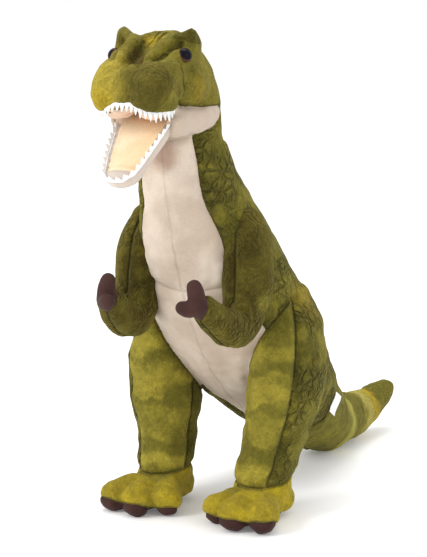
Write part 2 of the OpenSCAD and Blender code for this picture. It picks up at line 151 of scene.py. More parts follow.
# %% Tables of rings: x, y, z, half width, front depth, back depth, seam angle
TRUNK = [
    [0, 146, 76, 49, 46, 46, -89], [0, 118, 96, 57, 52, 51, -89],
    [0, 80, 122, 66, 59, 57, -84], [0, 32, 162, 73, 66, 62, -58],
    [0, -6, 202, 75, 68, 62, -34], [0, -38, 246, 68, 62, 56, -46],
    [0, -64, 288, 57, 52, 48, -40], [0, -82, 322, 47, 43, 40, -45],
    [0, -92, 352, 41, 37, 36, -42],
]
TAIL = [
    [18, 357, 52, 5, 5, 5, 0], [17, 352, 48, 11, 11, 11, 0], [12, 330, 38, 17, 18, 17, 0],
    [6, 296, 30, 24, 24, 23, 0], [1, 256, 29, 30, 27, 29, 0], [0, 214, 35, 36, 34, 35, 0],
    [0, 180, 52, 42, 41, 41, 0], [0, 152, 72, 47, 45, 45, 0], [0, 124, 92, 52, 48, 48, 0],
]
NECK = [
    [0, -84, 330, 44, 41, 39, 0], [0, -93, 350, 39, 36, 35, 0], [0, -96, 372, 38, 35, 34, 0],
    [0, -98, 396, 38, 34, 33, 0], [0, -102, 416, 34, 30, 30, 0],
]
SKULL = [
    [0, -62, 412, 12, 12, 12, 0], [0, -70, 410, 22, 17, 24, 0], [0, -84, 408, 30.5, 15, 36, 0],
    [0, -104, 408, 37, 14, 47, 0], [0, -126, 408, 40, 14, 48, 0],
    [0, -146, 408, 40, 14, 35, 0], [0, -164, 408, 38.5, 14, 25, 0],
    [0, -180, 408, 34.5, 13, 20, 0], [0, -190, 408, 27, 12, 16, 0], [0, -197, 407, 14, 9, 9, 0],
]
LEG = [
    [54, -36, 22, 27, 27, 29, 0], [54.5, -34, 40, 26, 29, 29, 0], [56, -26, 54, 27, 31, 29, 0],
    [60, -19, 78, 30, 36, 35, 0], [64, -14, 100, 33, 41, 40, 0], [66, -7, 134, 35, 47, 44, 0],
    [64, 2, 164, 33, 48, 45, 0], [60, 8, 192, 27, 40, 40, 0], [57, 11, 212, 18, 27, 28, 0],
    [55, 12, 222, 8, 12, 12, 0],
]
ARM = [
    [49, -61, 292, 7, 8, 8, 0], [52, -63, 283, 17, 18, 18, 0], [55, -68, 260, 24, 25, 25, 0],
    [57, -73, 232, 24, 24, 24, 0], [57, -78, 209, 21.5, 22, 22, 0],
    [56, -89, 194, 19, 21, 18, 0], [55, -107, 194, 17, 18, 16, 0],
    [52, -126, 204, 15, 15, 14, 0], [49, -138, 213, 13, 13, 12, 0],
]
JAW = [
    [0, -127, 393, 22, 12, 7, 0], [0, -142, 387, 26.5, 13, 7, 0], [0, -154, 378, 27, 13, 7, 0],
    [0, -166, 367, 25.5, 13, 7, 0], [0, -178, 355, 22.5, 12, 6.5, 0], [0, -189, 344, 19.5, 11, 6, 0],
    [0, -198, 335, 16.5, 12, 5, 0], [0, -204, 329, 9, 7.5, 3.5, 0],
]


def at(x, y, z):
    """A point given in the toy's own millimetres, as a place in the frame in metres."""
    return Vector((x / 1000, (y - MIDDLE) / 1000, z / 1000))


def smooth_rows(rows, steps):
    """More rows, on the smooth curve that runs through the given ones."""
    rows = np.array(rows, float)
    ends = np.vstack([2 * rows[0] - rows[1], rows, 2 * rows[-1] - rows[-2]])
    out = []
    for before, here, there, after in zip(ends, ends[1:], ends[2:], ends[3:]):
        for step in range(steps):
            t = step / steps
            out.append(0.5 * (2 * here + (there - before) * t
                              + (2 * before - 5 * here + 4 * there - after) * t ** 2
                              + (3 * here - before - 3 * there + after) * t ** 3))
    return np.array(out + [rows[-1]])


print("tables hold", sum(map(len, (TRUNK, TAIL, NECK, SKULL, LEG, ARM, JAW))), "rings")

# %% [markdown]
# A loft starts as circles. Each is pushed out to its ring's shape and bridged to the last
# one, and the first and last circles are filled, so that the form is closed.

# %% Loft, ball and roll
ACROSS = Vector((1, 0, 0))
RING_POINTS, ROW_STEPS = 40, 4
ROLL_SPACING = 2.0


def ring_place(row, turn_cos, turn_sin, front, powers):
    """Where one point of a ring goes: power 2 is an ellipse, and more is boxier."""
    power = powers[0] if turn_sin > 0 else powers[1]
    side = math.copysign(abs(turn_cos) ** (2 / power), turn_cos)
    deep = math.copysign(abs(turn_sin) ** (2 / power), turn_sin)
    depth = row[4] if deep > 0 else row[5]
    return at(*row[:3]) + (ACROSS * row[3] * side + front * depth * deep) / 1000


def loft(rows, powers=(2.0, 2.0)):
    bm = bmesh.new()
    rows = smooth_rows(rows, ROW_STEPS)
    ways = np.gradient(rows[:, :3], axis=0)
    last = None
    for number, (row, way) in enumerate(zip(rows, ways)):
        front = ACROSS.cross(Vector(way)).normalized()
        closed = number in (0, len(rows) - 1)
        ring = bmesh.ops.create_circle(bm, cap_ends=closed, segments=RING_POINTS, radius=1)["verts"]
        edges = list({e for v in ring for e in v.link_edges})
        for v in ring:
            v.co = ring_place(row, v.co.x, v.co.y, front, powers)
        if last:
            bmesh.ops.bridge_loops(bm, edges=last + edges)
        last = edges
    bmesh.ops.recalc_face_normals(bm, faces=bm.faces)
    return bm


def ball(centre, radii, turn=(0, 0, 0), detail=4):
    """A closed ellipsoid; centre and radii in millimetres, turn in degrees."""
    bm = bmesh.new()
    tilt = Matrix.Rotation(math.radians(turn[2]), 4, "Z") @ Matrix.Rotation(
        math.radians(turn[1]), 4, "Y") @ Matrix.Rotation(math.radians(turn[0]), 4, "X")
    size = Matrix.Diagonal([r / 1000 for r in radii] + [1])
    bmesh.ops.create_icosphere(
        bm, subdivisions=detail, radius=1, matrix=Matrix.Translation(at(*centre)) @ tilt @ size)
    return bm


def roll(points, radii):
    """A soft roll through some points: balls so close together that the fusing joins them."""
    forms = []
    table = np.array([list(p) + [r] for p, r in zip(points, radii)], float)
    table = smooth_rows(table, 6)
    for a, b in zip(table, table[1:]):
        count = max(1, int(np.linalg.norm(b[:3] - a[:3]) / ROLL_SPACING))
        for k in range(count):
            p = a + (b - a) * k / count
            forms.append(ball(p[:3], [p[3]] * 3, detail=2))
    return forms


def mirrored(form):
    """The same form for the toy's other side."""
    twin = form.copy()
    bmesh.ops.transform(twin, matrix=Matrix.Scale(-1, 4, ACROSS), verts=twin.verts)
    bmesh.ops.reverse_faces(twin, faces=twin.faces)
    return twin


# %% [markdown]
# Fusing joins overlapping forms into one skin. A voxel remesh keeps only the outside, and a
# few rounds of smoothing round off the creases, as tight stuffing does under cloth.

# %% Fuse
def baked(obj):
    """The object's mesh with its modifiers applied, in a new mesh."""
    depsgraph = bpy.context.evaluated_depsgraph_get()
    mesh = bpy.data.meshes.new_from_object(obj.evaluated_get(depsgraph))
    bpy.data.objects.remove(obj)
    return mesh


def fuse(name, forms, voxel, rounds):
    together = bmesh.new()
    for form in forms:
        part = bpy.data.meshes.new("part")
        form.to_mesh(part)
        form.free()
        together.from_mesh(part)
        bpy.data.meshes.remove(part)
    obj = object_from(together, name)
    remesh = obj.modifiers.new("remesh", "REMESH")
    remesh.mode = "VOXEL"
    remesh.voxel_size = voxel
    smooth = obj.modifiers.new("smooth", "SMOOTH")
    smooth.factor = 0.5
    smooth.iterations = rounds
    bm = bmesh.new()
    bm.from_mesh(baked(obj))
    print(name, len(bm.verts), "points")
    return bm


# %% [markdown]
# ## The body's forms
# Trunk, tail, neck, head, legs and feet are fused into one skin. The head carries the most
# detail: two round snout pads, cheeks, a ridge from each ear-like horn to the nose, and
# the throat's two cheek bags that the jaw hangs from.

# %% Head forms
def head_forms():
    half = [
        ball((18.5, -174, 406.5), (20.5, 26.5, 25), (0, 0, 8)),
        ball((24, -172, 399), (14.5, 22, 14)),
        ball((27, -163, 419), (13.5, 20, 14)),
        ball((28, -130, 408), (15, 26, 18)),
        ball((30, -116, 381), (13, 27, 15)),
        ball((32, -106, 386), (10, 17, 12)),
        ball((28, -145, 380), (8.5, 19, 13)),
        ball((25, -151, 373), (7, 11, 9)),
        ball((27, -131, 440), (9, 12, 10)),
        ball((28, -147, 432), (9.5, 15, 10)),
    ]
    half += roll([(35, -136, 455), (26, -139, 451), (17.5, -146, 447), (15.5, -160, 440), (12.5, -176, 431)],
                 [4.5, 6, 6.6, 6.6, 5.6])
    half += roll([(2, -108, 453), (8, -124, 451), (16, -143, 447)], [5, 5.6, 5.6])
    half += roll([(34.5, -135.5, 455.5), (31, -128, 446), (25, -116, 436)], [4.5, 8, 8])
    half += roll([(34.5, -136, 455), (33, -136, 444), (33, -138, 434)], [4.5, 7, 7])
    return half


def foot_forms():
    half = [
        ball((54, -50, 18), (28, 30, 15)),
        ball((54, -28, 17), (27, 27, 17)),
    ]
    for turn, away in ((236, 49), (268, 55), (299, 56)):
        c, s = math.cos(math.radians(turn)), math.sin(math.radians(turn))
        half += roll([(54 + c * 26, -38 + s * 26, 17), (54 + c * away, -38 + s * away, 14.5)], [16, 15.5])
    return half


def body_forms():
    forms = [
        loft(TRUNK), loft(TAIL), loft(NECK), loft(SKULL, powers=(3.2, 1.75)),
        ball((0, -96, 388), (30, 30, 20)), ball((0, -176, 405), (15, 22.5, 17)),
    ]
    half = head_forms() + foot_forms() + [loft(LEG)]
    return forms + half + [mirrored(form) for form in half]


BODY_VOXEL, BODY_ROUNDS = 0.0019, 5
body = fuse("body", body_forms(), BODY_VOXEL, BODY_ROUNDS)

# %% [markdown]
# ## Which form is a point on?
# To cut the skin into panels, each point needs to know where it is along a form, how far
# round it is, and which form it belongs to. A form's nearness is 1 on its surface.

# %% Nearness to a form
def to_toy(places):
    """Frame metres back to the toy's own millimetres."""
    return places * 1000 + np.array([0, MIDDLE, 0])


NEAR_BATCH = 20000      # points at a time, to save memory


def near(points, rows):
    """For points in millimetres: nearness, place along the rows, angle round, radius."""
    centres, steps = rows[:-1, :3], rows[1:, :3] - rows[:-1, :3]
    lengths = (steps ** 2).sum(1)
    found = []
    for start in range(0, len(points), NEAR_BATCH):
        p = points[start:start + NEAR_BATCH]
        rel = p[:, None, :] - centres[None]
        t = np.clip((rel * steps).sum(2) / lengths, 0, 1)
        away = ((rel - t[..., None] * steps) ** 2).sum(2)
        k = away.argmin(1)
        every = np.arange(len(p))
        t = t[every, k]
        row = rows[k] * (1 - t[:, None]) + rows[k + 1] * t[:, None]
        way = steps[k] / np.sqrt(lengths[k])[:, None]
        front = np.stack([np.zeros(len(p)), -way[:, 2], way[:, 1]], 1)
        front /= np.linalg.norm(front, axis=1)[:, None]
        off = p - row[:, :3]
        side, deep = off[:, 0], (off * front).sum(1)
        end = (off * way).sum(1)
        depth = np.where(deep > 0, row[:, 4], row[:, 5])
        ratio = np.sqrt((side / row[:, 3]) ** 2 + (deep / depth) ** 2 + (end / row[:, 3]) ** 2)
        angle = np.degrees(np.arctan2(-deep, np.abs(side)))
        found.append(np.stack([ratio, k + t, angle, np.hypot(side, deep), side, row[:, 6]], 1))
    return np.concatenate(found).T


TRUNK_FINE, LEG_FINE, ARM_FINE = (smooth_rows(rows, ROW_STEPS) for rows in (TRUNK, LEG, ARM))


def fold_side(points):
    """Points of both sides laid over the toy's left side."""
    folded = points.copy()
    folded[:, 0] = np.abs(folded[:, 0])
    return folded


# %% [markdown]
# ## Seams as fields
# Each seam is where a field is zero. The field is roughly the distance to the seam in
# millimetres, less than zero on one side of it and more on the other.

# %% Seam fields
NECK_PIVOT, NECK_WAY = np.array([0, -96, 372]), np.array([0, -0.12, 0.993])
TAIL_PIVOT, TAIL_WAY = np.array([0, 160, 68]), np.array([0, 0.848, -0.53])
NECK_REACH, TAIL_REACH = 26, 24
LEG_TOP, LEG_LOW = 98, 56
THROAT_TOP = 391.5
LEG_SEAM = 33
MOUTH_BACK = -124       # the palate lies in front of this
CHEST_ROW = 5.15        # where the cross seam is along the trunk's rows
LIP_WIDTH = ([146, 156, 164, 205], [20, 28, 37, 37])   # ahead of the ears, half width


def field_middle(p):
    return p[:, 0]


def field_head(p):
    return (p - NECK_PIVOT) @ NECK_WAY + NECK_REACH


def field_tail(p):
    return (p - TAIL_PIVOT) @ TAIL_WAY + TAIL_REACH


def field_thigh(p):
    """More than zero on the thigh or leg."""
    trunk, leg = near(p, TRUNK_FINE)[0], near(fold_side(p), LEG_FINE)[0]
    return np.where((p[:, 2] < 74) & (p[:, 1] < 14), 30, (trunk - leg) * 34)


def field_leg_top(p):
    return LEG_TOP - p[:, 2]


def field_ankle(p):
    return 37 - p[:, 2] + 0.12 * (p[:, 1] + 38)


def field_sole(p):
    reach = np.hypot(np.abs(p[:, 0]) - 54, p[:, 1] + 38)
    wrap = np.clip((reach - 48) / 18, 0, 1) * (p[:, 1] < -38)
    return 4.5 + 9.5 * wrap - p[:, 2]


def field_belly(p):
    """More than zero on the pale belly and chest."""
    _, _, angle, radius, _, seam = near(p, TRUNK_FINE)
    return np.radians(seam - angle) * np.clip(radius, 20, 80)


def field_chest(p):
    return near(p, TRUNK_FINE)[1] - CHEST_ROW * ROW_STEPS


def field_leg_front(p):
    """More than zero on the lighter front panel of a leg: it ends 33 degrees round outwards."""
    folded = fold_side(p)
    middle_x, middle_y = (np.interp(folded[:, 2], LEG_FINE[:, 2], LEG_FINE[:, k]) for k in (0, 1))
    outward, ahead = folded[:, 0] - middle_x, middle_y - folded[:, 1]
    turn = np.degrees(np.arctan2(outward, ahead))
    return np.radians(np.minimum(LEG_SEAM - turn, turn + 80)) * 34


def field_leg_side(p):
    """More than zero on the outer side of a leg."""
    return near(fold_side(p), LEG_FINE)[4] + 2


def field_throat(p):
    """More than zero on the pale throat and cheek bags under the head."""
    back = np.interp(p[:, 2], [346, 354, 360, 366, 372, 377, 383, 391, 400],
                     [-168, -150, -132, -117, -104, -97, -92.5, -92, -95])
    top = np.interp(-p[:, 1], [142, 160], [THROAT_TOP, 397])
    return np.minimum(np.minimum(back - p[:, 1], top - p[:, 2]), p[:, 1] + 160)


def field_pad(p):
    """More than zero on a snout pad."""
    folded = fold_side(p)
    off = np.hypot((folded[:, 0] - 19) / 20, (folded[:, 2] - 409) / 22.5)
    return np.minimum((1 - off) * 20, (-163 - 0.12 * (folded[:, 2] - 409) - folded[:, 1]))


def field_nape(p):
    return 392 + 0.35 * (p[:, 1] + 92) - p[:, 2]


def field_horn(p):
    folded = fold_side(p)
    return (folded - np.array([29, -136, 449])) @ np.array([0.30, 0.0, 0.954])


SKIN_SEAMS = [
    field_middle, field_head, field_tail, field_thigh, field_leg_top, field_ankle, field_sole, field_belly,
    field_chest, field_leg_front, field_leg_side, field_throat, field_pad, field_horn, field_nape,
]


# %% [markdown]
# A cut splits every edge that a seam crosses, exactly where it crosses, and joins the new
# points over the faces. A point that is nearly on the seam is moved onto it instead, so
# that no thin slivers are left.

# %% Cut along a field
def coordinates(bm):
    return np.array([v.co for v in bm.verts])


SNAP = 0.25             # a point this near the seam, as a share of its edge, is moved onto it
STEEPEST = 20           # a field that jumps by more along one edge is not crossed


def cut(bm, field):
    bm.verts.index_update()
    values = list(field(to_toy(coordinates(bm))))
    on_line = set()
    for edge in list(bm.edges):
        a, b = edge.verts
        va, vb = values[a.index], values[b.index]
        if va * vb >= 0 or abs(va - vb) > STEEPEST:
            continue
        share = va / (va - vb)
        if share < SNAP:
            a.co = a.co.lerp(b.co, share)
            values[a.index] = 0
            on_line.add(a)
        elif share > 1 - SNAP:
            b.co = b.co.lerp(a.co, 1 - share)
            values[b.index] = 0
            on_line.add(b)
    crossing = [e for e in bm.edges
                if values[e.verts[0].index] * values[e.verts[1].index] < 0
                and abs(values[e.verts[0].index] - values[e.verts[1].index]) <= STEEPEST]
    for edge in crossing:
        a, b = edge.verts
        share = values[a.index] / (values[a.index] - values[b.index])
        _, new = bmesh.utils.edge_split(edge, a, share)
        new.index = len(values)
        values.append(0)
        on_line.add(new)
    bmesh.ops.connect_verts(bm, verts=list(on_line))
    return len(on_line)


for field in SKIN_SEAMS:
    print(field.__name__, cut(body, field), "points on the seam")

# %% [markdown]
# ## Naming the panels
# After the cuts each face lies wholly in one panel, so its middle decides which. The name
# has the part of the body that it moves with, then the panel, then the side.

# %% Name each face
def body_labels(bm):
    middles = to_toy(np.array([f.calc_center_median() for f in bm.faces]))
    downs = np.array([f.normal.z for f in bm.faces])
    sides = np.array([f.normal.x for f in bm.faces]) * np.sign(middles[:, 0])
    value = {field.__name__: field(middles) for field in SKIN_SEAMS}
    names = []
    for i, (x, y, z) in enumerate(middles):
        is_in = {key[6:]: v[i] > 0 for key, v in value.items()}
        side = "left" if x > 0 else "right"
        if is_in["head"] and z > 330:
            back_wall = 366 < z < 396.5 and abs(x) < 17 and y > -170
            faces_down = z < 397 and downs[i] < -0.88 and abs(x) < np.interp(-y, *LIP_WIDTH)
            faces_in = 372 < z < 389 and y < -138 and sides[i] < -0.2 and abs(x) < 27
            if y < MOUTH_BACK and (back_wall or faces_down or faces_in):
                kind = "palate"
            elif is_in["throat"] or z < 384 and -168 < y < -140:
                kind = "throat"
            elif z < 380 and is_in["belly"]:
                kind = "collar"
            elif is_in["pad"] and y < -150:
                kind = "snout"
            elif is_in["horn"] and -148 < y < -122 and abs(x) > 22:
                kind = "horn"
            else:
                kind = "nape" if is_in["nape"] else "head"
            names.append(("head", kind, "" if kind in ("throat", "palate") else side))
        elif is_in["tail"] and y > 100:
            names.append(("tail", "tail", side))
        elif is_in["thigh"] and abs(x) > 12 and y < 75:
            part = "leg" if is_in["leg_top"] else "torso"
            if is_in["sole"]:
                kind = "sole"
            elif is_in["ankle"]:
                kind = "foot"
            elif is_in["leg_front"]:
                kind = "front"
            else:
                kind = "outer" if is_in["leg_side"] else "inner"
            prefix = "" if kind in ("sole", "foot") else ("leg_" if part == "leg" else "thigh_")
            names.append((part + "_" + side if part == "leg" else part, prefix + kind, side))
        elif is_in["belly"] and y < 112:
            names.append(("torso", "chest" if is_in["chest"] else "belly", side))
        else:
            names.append(("torso", "back", side))
    return names


body.faces.ensure_lookup_table()
labels = body_labels(body)
print("panels", sorted({"_".join(filter(None, label[1:])) for label in labels}))

# %% [markdown]
# ## Seams pull in, stuffing pushes out
# Along a real seam the thread draws the cloth down into a groove, and small gathers run
# away from it. Each point's distance from the nearest seam or crease drives both, and stays
# on the mesh for the material to paint shade into the seam's fold and press stitches into it.

# %% Seam distance and relief
GROOVE, GROOVE_WIDTH = 1.7, 3.2
# Creases of the head count as seams: they are grooved, and painted shade runs along them.
CREASES = [
    [(38, -156, 396), (41, -156, 408), (39, -155, 420), (36, -158, 427)],
    [(24, -131, 452), (15, -139, 446), (8, -152, 440), (5, -168, 431), (5, -182, 424)],
    [(29, -142, 446), (24, -153, 440), (20, -166, 433), (18, -176, 430)],
    [(3, -122, 451), (2, -134, 448), (5, -146, 443)],
]
SEAM_REACH = 30.0


def cloth_kind(label):
    """Panels with the same kind and side have no seam between them."""
    kind = label[1].replace("thigh_", "leg_").replace("collar", "chest").replace("leg_outer", "back")
    kind = "back" if kind in ("head", "horn", "snout", "nape") else kind
    return (kind, "") if kind == "back" and label[0] == "head" else (kind, label[2])


def is_seam(a, b):
    """Two cloths meet in a seam, except where the back runs on into the head."""
    both_back = a[0] == b[0] == "back"
    return a != b and not (both_back and "" in (a[1], b[1]))


def crease_points(bm):
    """Places on the skin of the head along the creases of both sides."""
    shape = BVHTree.FromBMesh(bm)
    points = []
    for line in CREASES:
        for a, b in zip(line, line[1:]):
            for share in np.linspace(0, 1, 9)[:-1]:
                x, y, z = (a[k] + (b[k] - a[k]) * share for k in range(3))
                points += [shape.find_nearest(at(sign * x, y, z))[0] for sign in (-1, 1)]
    return points


def seam_distance(bm, names, creases=()):
    points = list(creases)
    bm.faces.index_update()
    for edge in bm.edges:
        if len(edge.link_faces) == 2:
            if is_seam(*(cloth_kind(names[f.index]) for f in edge.link_faces)):
                points.append((edge.verts[0].co + edge.verts[1].co) / 2)
                points.append(edge.verts[0].co.copy())
    tree = kdtree.KDTree(len(points))
    for i, point in enumerate(points):
        tree.insert(point, i)
    tree.balance()
    return np.array([min(tree.find(v.co)[2] * 1000, SEAM_REACH) for v in bm.verts])


def relief(bm, distance, lump, gather, folds=None, thread=None):
    """Moves each point along its normal: groove, gathers by the seam, soft lumps and folds."""
    bm.normal_update()
    folds = np.zeros(len(distance)) if folds is None else folds
    thread = np.ones(len(distance)) if thread is None else thread
    moved = []
    for v, away, fold, pull in zip(bm.verts, distance, folds, thread):
        groove = -GROOVE * pull * math.exp(-(away / GROOVE_WIDTH) ** 2)
        puff = 0.5 * math.exp(-((away - 9) / 5) ** 2)
        waves = gather * noise.noise(v.co * 120) * math.exp(-away / 9) * min(1, away / 2.5)
        lumps = lump * noise.noise(v.co * 38) + 0.35 * lump * noise.noise(v.co * 95 + Vector((3, 1, 7)))
        if fold:
            lumps += fold * noise.noise(Vector((v.co.x * 14, v.co.y * 14, v.co.z * 62)))
        moved.append(v.co + v.normal * (groove + puff + waves + lumps) / 1000)
    for v, place in zip(bm.verts, moved):
        v.co = place
        v.co.z = max(v.co.z, 0.0004)


body_seams = seam_distance(body, labels, crease_points(body))
body_points = to_toy(coordinates(body))
on_legs = np.clip(field_thigh(body_points) / 6, 0, 1) * (np.abs(body_points[:, 0]) > 14)
on_legs *= np.clip((body_points[:, 2] - 36) / 12, 0, 1)
on_legs *= (body_points[:, 2] < 215) * (body_points[:, 1] < 75)
soft_seam = np.where((np.abs(body_points[:, 0]) < 6) & (body_points[:, 1] < 40), 0.35, 1.0)
relief(body, body_seams, 2.0, 2.4, 2.2 * on_legs, soft_seam)
print("seam distance up to", round(float(body_seams.max()), 1), "mm")

# %% [markdown]
# ## Cloths
# The skin is one short pile printed and airbrushed in greens, embossed in places with a
# cracked scale pattern. The belly is smooth velboa, the mouth is lined with a peach cloth.
# One recipe makes them all: colour zones, a crackle with painted shade in its cracks, the nap, and the seam
# with painted shade in its fold.

# %% Material recipe
class Recipe:
    """Adds nodes to one material and joins them, so that a recipe reads top to bottom."""

    def __init__(self, name, roughness=0.9, sheen=0.25, specular=0.12, sheen_tint=(1, 1, 1)):
        self.material = bpy.data.materials.new(name)
        self.material.use_nodes = True
        self.tree = self.material.node_tree
        self.shader = self.tree.nodes["Principled BSDF"]
        self.shader.inputs["Roughness"].default_value = roughness
        self.shader.inputs["Sheen Weight"].default_value = sheen
        self.shader.inputs["Sheen Roughness"].default_value = 0.5
        self.shader.inputs["Sheen Tint"].default_value = (*sheen_tint, 1)
        self.shader.inputs["Specular IOR Level"].default_value = specular
        self.place = self.add("ShaderNodeTexCoord").outputs["Object"]
        self.height = None

    def add(self, kind, **values):
        node = self.tree.nodes.new(kind)
        for key, value in values.items():
            if hasattr(node, key):
                setattr(node, key, value)
            else:
                self.feed(node.inputs[key.replace("_", " ")], value)
        return node

    def feed(self, socket, value):
        if isinstance(value, bpy.types.NodeSocket):
            self.tree.links.new(value, socket)
        else:
            socket.default_value = value

    def noise(self, scale, detail=2, shift=(0, 0, 0)):
        moved = self.add("ShaderNodeVectorMath", operation="ADD")
        self.feed(moved.inputs[0], self.place)
        self.feed(moved.inputs[1], shift)
        cloud = self.add("ShaderNodeTexNoise", Vector=moved.outputs[0], Scale=scale, Detail=detail)
        return cloud.outputs["Fac"]

    def span(self, value, low, high, to_low=0.0, to_high=1.0):
        node = self.add("ShaderNodeMapRange", interpolation_type="SMOOTHSTEP")
        for name, number in (("From Min", low), ("From Max", high), ("To Min", to_low), ("To Max", to_high)):
            node.inputs[name].default_value = number
        self.feed(node.inputs["Value"], value)
        return node.outputs["Result"]

    def sum(self, a, b, operation="ADD"):
        node = self.add("ShaderNodeMath", operation=operation)
        self.feed(node.inputs[0], a)
        self.feed(node.inputs[1], b)
        return node.outputs[0]

    def blend(self, share, a, b, mode="MIX"):
        node = self.add("ShaderNodeMix", data_type="RGBA", blend_type=mode)
        for socket, value in ((node.inputs[0], share), (node.inputs[6], a), (node.inputs[7], b)):
            if isinstance(value, tuple):
                value = (*value, 1)
            self.feed(socket, value)
        return node.outputs[2]

    def spot(self, centre, radius):
        """A soft round patch, a little uneven at its edge, as an airbrush leaves it; it also serves for
        painted shade and painted shadow.
        """
        gap = self.add("ShaderNodeVectorMath", operation="DISTANCE")
        self.feed(gap.inputs[0], self.place)
        self.feed(gap.inputs[1], tuple(at(*centre)))
        uneven = self.sum(self.noise(70, 2, centre), radius / 1000 * 0.8, "MULTIPLY")
        reach = self.sum(gap.outputs["Value"], uneven)
        return self.span(reach, radius / 1000 * 0.9, radius / 1000 * 1.9, 1.0, 0.0)

    def grey(self, value):
        tone = self.add("ShaderNodeCombineColor")
        for socket in tone.inputs[:3]:
            self.feed(socket, value)
        return tone.outputs[0]

    def raise_by(self, value, weight):
        layer = self.sum(value, weight, "MULTIPLY")
        self.height = layer if self.height is None else self.sum(self.height, layer)

    def finish(self, colour, strength, depth):
        self.feed(self.shader.inputs["Base Color"], colour)
        bump = self.add("ShaderNodeBump", Height=self.height)
        bump.inputs["Strength"].default_value = strength
        bump.inputs["Distance"].default_value = depth
        self.feed(self.shader.inputs["Normal"], bump.outputs[0])
        return self.material


def seam_marks(recipe, colour, dark=0.45):
    """Paints shade into the fold of a seam and lets the stitches press into it."""
    away = recipe.add("ShaderNodeAttribute", attribute_name="seam").outputs["Fac"]
    fold = recipe.span(away, 0.0, 2.2, 1.0, 0.0)
    recipe.raise_by(fold, -1.1)
    # Painted shade: the fold of a seam or crease is darkened towards near black.
    shade = recipe.sum(fold, dark, "MULTIPLY")
    return recipe.blend(shade, colour, (0.02, 0.02, 0.008))


def pile_cloth(name, low, mid, high, spots=(), scales=0.4, scale_size=120, bands=None):
    """Printed short pile: low, mid and high are its colours from the shadows to the lights."""
    r = Recipe(name, sheen=0.35, sheen_tint=(0.42, 0.38, 0.10))
    broad = r.span(r.noise(19, 3), 0.38, 0.62)
    cloud = r.span(r.noise(48, 4, (4, 2, 9)), 0.42, 0.66)
    colour = r.blend(broad, low, mid)
    colour = r.blend(r.sum(cloud, 0.6, "MULTIPLY"), colour, high)
    if bands:
        colour = bands(r, colour)
    for centre, radius, tint in spots:
        colour = r.blend(r.sum(r.spot(centre, radius), 0.85, "MULTIPLY"), colour, tint)
    warp = r.add("ShaderNodeTexNoise", Vector=r.place, Scale=60.0, Detail=3.0)
    bent = r.add("ShaderNodeVectorMath", operation="MULTIPLY_ADD")
    r.feed(bent.inputs[0], warp.outputs["Color"])
    r.feed(bent.inputs[1], (0.016, 0.016, 0.016))
    r.feed(bent.inputs[2], r.place)
    cells = r.add("ShaderNodeTexVoronoi", feature="DISTANCE_TO_EDGE",
                  Vector=bent.outputs[0], Scale=scale_size)
    crack = r.span(cells.outputs["Distance"], 0.0, 0.3)
    patchy = r.span(r.noise(34, 3, (1, 8, 3)), 0.4, 0.6, 0.1, 1.0)
    r.raise_by(r.sum(crack, patchy, "MULTIPLY"), 1.5 * scales)
    # Painted shade: the open cracks of the embossed scales are darkened.
    crack_painted_shade = r.sum(r.sum(1.0, crack, "SUBTRACT"), patchy, "MULTIPLY")
    colour = r.blend(r.sum(crack_painted_shade, 0.34 * scales, "MULTIPLY"), colour, (0.026, 0.021, 0.004))
    nap = r.noise(520, 4)
    tuft = r.noise(170, 3, (7, 7, 1))
    r.raise_by(nap, 0.6)
    r.raise_by(tuft, 0.5)
    lit_nap, lit_tuft = r.span(nap, 0.3, 0.7, 0.88, 1.10), r.span(tuft, 0.3, 0.7, 0.86, 1.12)
    colour = r.blend(1.0, colour, r.grey(r.sum(lit_nap, lit_tuft, "MULTIPLY")), "MULTIPLY")
    colour = seam_marks(r, colour)
    return r.finish(colour, 1.0, 0.0030)


def smooth_cloth(name, low, high, shade=(), dark=0.1, sheen=0.12):
    """Velboa: short, dense and even, with a faint nap and soft spots of colour; the rose spots under the jaw
    are painted shadow.
    """
    r = Recipe(name, 0.8, sheen, 0.2)
    colour = r.blend(r.span(r.noise(26, 3), 0.35, 0.7), low, high)
    for centre, radius, tint in shade:
        colour = r.blend(r.spot(centre, radius), colour, tint)
    nap = r.noise(900, 3)
    r.raise_by(nap, 0.35)
    r.raise_by(r.noise(60, 3, (2, 5, 5)), 0.6)
    colour = r.blend(1.0, colour, r.grey(r.span(nap, 0.3, 0.7, 0.93, 1.05)), "MULTIPLY")
    colour = seam_marks(r, colour, dark)
    return r.finish(colour, 0.45, 0.0011)


# %% [markdown]
# ## The toy's cloths
# Greens are mixed from dark olive, leaf olive and a yellow-green; ochre patches sit on the
# forehead, the cheeks and the toy's right snout pad. Bands run across the tail and the legs.

# %% Colours and cloths
DARK_OLIVE, OLIVE, LEAF = (0.060, 0.052, 0.006), (0.118, 0.103, 0.013), (0.200, 0.168, 0.022)
YELLOW_GREEN, OCHRE, HOLLOW_SHADE_BROWN = (0.330, 0.270, 0.034), (0.370, 0.262, 0.016), (0.075, 0.044, 0.007)
HIP_GOLD = (0.250, 0.180, 0.018)
GREIGE_LOW, GREIGE_HIGH = (0.48, 0.385, 0.30), (0.62, 0.525, 0.43)
SHADOW_ROSE = (0.40, 0.28, 0.21)


def bands_along(axis, base, marks):
    """Airbrushed bands across a limb: each is its middle, half width, colour and strength."""
    def paint(r, colour):
        along = r.add("ShaderNodeSeparateXYZ", Vector=r.place).outputs[axis]
        wavy = r.sum(along, r.sum(r.noise(38, 3), 0.034, "MULTIPLY"))
        for centre, half, tint, strength in marks:
            off = r.sum(wavy, (centre - base) / 1000 + 0.017, "SUBTRACT")
            away = r.sum(off, 0.0, "ABSOLUTE")
            inside = r.span(away, half / 2500, half / 800, strength, 0.0)
            colour = r.blend(inside, colour, tint)
        return colour
    return paint


def both(x, y, z, radius, tint):
    """One spot on each side, for airbrushed colour and for painted shade alike."""
    return [((x, y, z), radius, tint), ((-x, y, z), radius, tint)]


